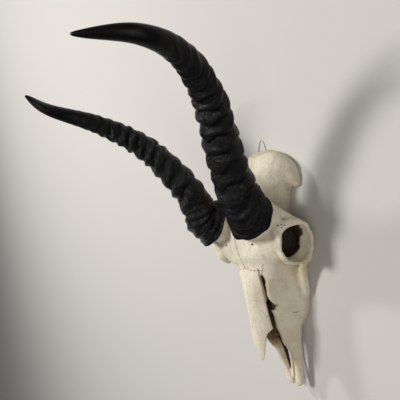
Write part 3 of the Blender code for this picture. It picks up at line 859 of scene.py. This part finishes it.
def horn_material(settings):
    """Near-black horn, greyer and glossier on its worn crests, with long fine grain."""
    made = new_material("black horn")
    ridge, along = attribute("ridge"), attribute("along")
    uv = Sockets.node("ShaderNodeTexCoord", output=2)
    grain = noise(1.0, 4.0, 0.6, (95.0, 9.0, 1.0), uv)
    scratch = noise(1.0, 2.0, 0.5, (40.0, 160.0, 1.0), uv)
    patch = noise(60.0)
    colour = stained(
        tuple(settings.horn_colour),
        ((0.007, 0.0074, 0.0086), ridge.smooth(0.1, 1.0) * patch.smooth(0.40, 0.70) * 0.7),
        ((0.016, 0.015, 0.014), grain.smooth(0.60, 0.75) * along.smooth(0.5, 0.05) * 0.35))
    rough = 0.12 + patch * 0.20 + grain * 0.10
    height = grain * 0.7 * along.smooth(0.95, 0.4) + scratch * 0.7 * along.smooth(0.75, 0.3)
    finish_material(colour, rough, height, 0.0013, IOR=1.5, Specular_IOR_Level=0.18)
    return made


def twine_material():
    """Off-white twisted twine."""
    made = new_material("off-white twine")
    fibre = noise(900.0, 2.0)
    colour = mix((0.88, 0.85, 0.78), (0.62, 0.56, 0.46), fibre.smooth(0.4, 0.7))
    finish_material(colour, 0.9, fibre, 0.0003)
    return made


class HornSettings(bpy.types.PropertyGroup):
    """Sizes and colours of the skull and its horns."""

    step: bpy.props.FloatProperty(
        name="Grid step", description="Grid of the bone's surface, in millimetres",
        default=1.0, min=0.5, max=4.0)
    bone_colour: bpy.props.FloatVectorProperty(
        name="Bone", description="Colour of the clean bone", subtype="COLOR",
        size=3, default=(0.77, 0.70, 0.56), min=0.0, max=1.0)
    horn_colour: bpy.props.FloatVectorProperty(
        name="Horn", description="Colour of the horn between its rings", subtype="COLOR",
        size=3, default=(0.0016, 0.0016, 0.0019), min=0.0, max=1.0)
    floor_size: bpy.props.FloatProperty(
        name="Floor", description="Side of the floor", subtype="DISTANCE", unit="LENGTH",
        default=6.0, min=1.0)


class HORNS_OT_skull(bpy.types.Operator):
    """Build the sawn skull cap"""
    bl_idname = "horns.skull"
    bl_label = "Skull cap"

    def execute(self, context):
        settings = context.scene.horn_settings
        finish = bone_material(settings)
        f, body, painted_shade, crease_shades = skull_field(settings.step)
        full_x = np.concatenate([-f.axes[0][:0:-1], f.axes[0]])
        grid, axes = padded(mirror_half(body), (full_x, f.axes[1], f.axes[2]), f.step)
        vertices, faces, spot = surface_net(grid, axes)
        # painted shade of the hollows and of the creases, kept as vertex fields for the colour
        fields = [(name, sample(np.pad(mirror_half(values), 1, mode="edge"), spot))
                  for name, values in (("painted_shade", painted_shade), ("painted_crease_shade", crease_shades))]
        vertices[:, 2] = np.maximum(vertices[:, 2], 0.0)
        add_piece("skull_cap_surface", mm(vertices), faces.tolist(), finish,
                  ["skull_cap"], fields=fields)
        return {"FINISHED"}


class HORNS_OT_nose(bpy.types.Operator):
    """Build the nasal bones and premaxillae"""
    bl_idname = "horns.nose"
    bl_label = "Nose bones"

    def execute(self, context):
        finish = bone_material(context.scene.horn_settings)
        for side, word in SIDES.items():
            vertices, faces = closed_rings(nasal_rings() * (side, 1, 1))
            # the nasal bones get no painted shade; each premaxilla gets its painted shade from
            # premaxilla_shade()
            add_piece("nasal_surface_" + word, mm(vertices), outward(vertices, faces), finish,
                      ["nasal_bone_" + word],
                      fields=[("painted_shade", np.zeros(len(vertices)))])
            vertices, faces = premaxilla_mesh(side)
            add_piece("premaxilla_surface_" + word, mm(vertices), faces.tolist(), finish,
                      ["premaxilla_" + word],
                      fields=[("painted_shade", premaxilla_shade(vertices))])
        return {"FINISHED"}


def nasal_rings(rows=90, columns=28):
    """Rings of the left nasal bone, a bowed plate.

    At the part t of its width the top has sunk by (t / 4 + 3 t^2.2 / 4) of its
    fall to the edge, and the plate has lost 0.55 t^3 of its thickness.
    """
    line = smooth_line(NASAL, rows)
    rings = []
    for y, outer, top, edge in line:
        t = np.linspace(0, 1, columns // 2)
        x = 0.05 + (outer - 0.05) * t
        sag = (top - edge) * (0.25 * t + 0.75 * t ** 2.2)
        upper = np.stack([x, np.full_like(x, y), top - sag], axis=1)
        thick = min(NASAL_THICKNESS, 0.5 * outer + 0.4) * (1 - 0.55 * t ** 3)
        lower = upper - np.stack([0 * t, 0 * t, thick], axis=1)
        lower[-1, 0] -= 0.25
        rings.append(np.concatenate([upper, lower[::-1]]))
    return np.array(rings)


def premaxilla_mesh(side, step=0.6):
    """Outer prong and inner spine of one premaxilla, melted together."""
    low, high = (-0.6, -155.0, 4.0), (14.5, -107.5, 27.0)
    axes = [np.arange(a, b + step, step) for a, b in zip(low, high)]
    x, y, z = np.meshgrid(*axes, indexing="ij", sparse=True)

    def prong(table):
        """Bone of oval section, |x/w|^p + |z/h|^p = 1, with w and h running along y."""
        line = smooth_line(table, 120)[::-1]
        cx, cz, w, h = (np.interp(axes[1], line[:, 0], line[:, k])[None, :, None]
                        for k in (1, 2, 3, 4))
        reach = ((np.abs(x - cx) / w) ** 2.3 + (np.abs(z - cz) / h) ** 2.3) ** (1 / 2.3)
        ends = np.maximum(table[-1][0] - y, y - table[0][0])
        return np.maximum((reach - 1) * np.minimum(w, h) * 0.9, ends)

    body = melt(prong(PREMAXILLA), prong(PALATE_SPINE), 0.8)
    vertices, faces, _ = surface_net(*padded(np.maximum(body, 0.35 - x), axes, step))
    if side < 0:
        vertices = vertices * (-1, 1, 1)
        faces = faces[:, ::-1]
    return vertices, faces


def premaxilla_shade(vertices):
    """Painted shade: brown towards the nose, and dark low in the cleft beside the inner spine,
    where shade falls.
    """
    x, y, z = abs(vertices[:, 0]), vertices[:, 1], vertices[:, 2]
    at, middle, level = (np.array(column)[::-1] for column in list(zip(*PREMAXILLA))[:3])
    middle, level = np.interp(y, at, middle), np.interp(y, at, level)
    cleft = ramp(middle, middle - 1.2, x) * ramp(2.9, 3.5, x) * ramp(level + 0.8, level - 0.8, z)
    cleft = cleft * ramp(-148.0, -143.0, y)
    return np.maximum(0.5 * ramp(-123.0, -108.0, y) * ramp(12.0, 9.5, x), 0.9 * cleft)


class HORNS_OT_horns(bpy.types.Operator):
    """Build the two ringed horn sheaths"""
    bl_idname = "horns.horns"
    bl_label = "Horns"

    def execute(self, context):
        finish = horn_material(context.scene.horn_settings)
        for side, word in SIDES.items():
            rings, heights, part, angle = horn_form(side)
            vertices, faces = closed_rings(rings)
            vertices = vertices * (side, 1, 1)
            columns = len(angle)
            uv = np.stack([np.tile(np.abs(angle / np.pi - 1), len(part)),
                           np.repeat(part, columns)], axis=1)
            uv = np.concatenate([uv, [[0.5, 0.0], [0.5, 1.0]]])
            ridge = np.concatenate([heights.ravel(), [0.0, 0.0]])
            along = np.concatenate([np.repeat(part, columns), [0.0, 1.0]])
            add_piece("horn_surface_" + word, mm(vertices), outward(vertices, faces), finish,
                      ["horn_" + word], uv, [("ridge", ridge), ("along", along)])
        return {"FINISHED"}


class HORNS_OT_cord(bpy.types.Operator):
    """Lay the thin hanging cord"""
    bl_idname = "horns.cord"
    bl_label = "Hanging cord"

    def execute(self, context):
        finish = twine_material()
        points = mm(smooth_line(CORD_ROUTE, 26))
        curve = bpy.data.curves.new("twine", "CURVE")
        curve.dimensions = "3D"
        curve.bevel_depth = CORD_DIAMETER * 0.0005
        curve.bevel_resolution = 3
        curve.use_fill_caps = True
        spline = curve.splines.new("POLY")
        spline.points.add(len(points) - 1)
        for knot, point in zip(spline.points, points):
            knot.co = (*point, 1.0)
        curve.materials.append(finish)
        twine = bpy.data.objects.new("twine_loop", curve)
        context.scene.collection.objects.link(twine)
        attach(twine, "root")
        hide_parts("hanging_cord")
        return {"FINISHED"}


def area_light(name, place, energy, size, colour):
    """Square light at a place in metres, facing the object."""
    light = bpy.data.lights.new(name, "AREA")
    light.energy, light.size, light.color = energy, size, colour
    made = bpy.data.objects.new(name, light)
    back = unit(place)
    right = unit(np.cross((0.0, 1.0, 0.001), back))
    made.matrix_world = pose(place, right, np.cross(back, right), back)
    bpy.context.scene.collection.objects.link(made)


def pose(place, right, up, back):
    """Matrix of something at the place, with its three directions."""
    columns = [right, up, back, place]
    rows = [[float(column[k]) for column in columns] for k in range(3)]
    return Matrix(rows + [[0, 0, 0, 1]])


def camera_pose():
    """Place and directions of the camera, from its yaw, pitch and roll."""
    back = np.array([math.sin(CAMERA_YAW) * math.cos(CAMERA_PITCH), math.sin(CAMERA_PITCH),
                     math.cos(CAMERA_YAW) * math.cos(CAMERA_PITCH)])
    level = unit(np.array((0, 1, 0)) - back[1] * back)
    across = np.cross(level, back)
    turn, lean = math.cos(CAMERA_ROLL), math.sin(CAMERA_ROLL)
    right = turn * across + lean * level
    up = -lean * across + turn * level
    return pose(mm(CAMERA_PLACE), right, up, back)


class HORNS_OT_stage(bpy.types.Operator):
    """Add the floor, the lights and the camera"""
    bl_idname = "horns.stage"
    bl_label = "Stage"

    def execute(self, context):
        scene = context.scene
        half = scene.horn_settings.floor_size / 2
        mesh = bpy.data.meshes.new("floor")
        mesh.from_pydata([(-half, -half, 0), (half, -half, 0), (half, half, 0), (-half, half, 0)],
                         [], [(0, 1, 2, 3)])
        finish = new_material("pale floor")
        shader = finish.node_tree.nodes["Principled BSDF"]
        shader.inputs["Base Color"].default_value = FLOOR_COLOUR
        shader.inputs["Roughness"].default_value = 0.9
        mesh.materials.append(finish)
        floor = bpy.data.objects.new("floor", mesh)
        scene.collection.objects.link(floor)

        world = bpy.data.worlds.new("studio")
        world.use_nodes = True
        background = world.node_tree.nodes["Background"]
        background.inputs["Color"].default_value = WORLD_COLOUR
        background.inputs["Strength"].default_value = WORLD_STRENGTH
        scene.world = world
        for light in LIGHTS:
            area_light(*light)

        lens = bpy.data.cameras.new("camera")
        lens.sensor_width, lens.lens = CAMERA_SENSOR, CAMERA_LENS
        camera = bpy.data.objects.new("camera", lens)
        scene.collection.objects.link(camera)
        camera.matrix_world = camera_pose()
        scene.camera = camera
        scene.view_settings.view_transform = "Standard"
        return {"FINISHED"}


class HORNS_PT_panel(bpy.types.Panel):
    """Sizes, colours and the steps that build the horns"""
    bl_label = "Antelope horns"
    bl_idname = "HORNS_PT_panel"
    bl_space_type = "VIEW_3D"
    bl_region_type = "UI"
    bl_category = "Horns"

    def draw(self, context):
        settings = context.scene.horn_settings
        for name in ("step", "bone_colour", "horn_colour", "floor_size"):
            self.layout.prop(settings, name)
        for operator in OPERATORS:
            self.layout.operator(operator.bl_idname)


OPERATORS = (HORNS_OT_stage, HORNS_OT_cord, HORNS_OT_skull, HORNS_OT_nose, HORNS_OT_horns)
CLASSES = (HornSettings,) + OPERATORS + (HORNS_PT_panel,)


def register():
    for item in CLASSES:
        bpy.utils.register_class(item)
    bpy.types.Scene.horn_settings = bpy.props.PointerProperty(type=HornSettings)


def unregister():
    del bpy.types.Scene.horn_settings
    for item in reversed(CLASSES):
        bpy.utils.unregister_class(item)


def main():
    register()
    bpy.ops.horns.stage()
    bpy.ops.horns.cord()
    bpy.ops.horns.skull()
    bpy.ops.horns.nose()
    bpy.ops.horns.horns()


if __name__ == "__main__":
    main()
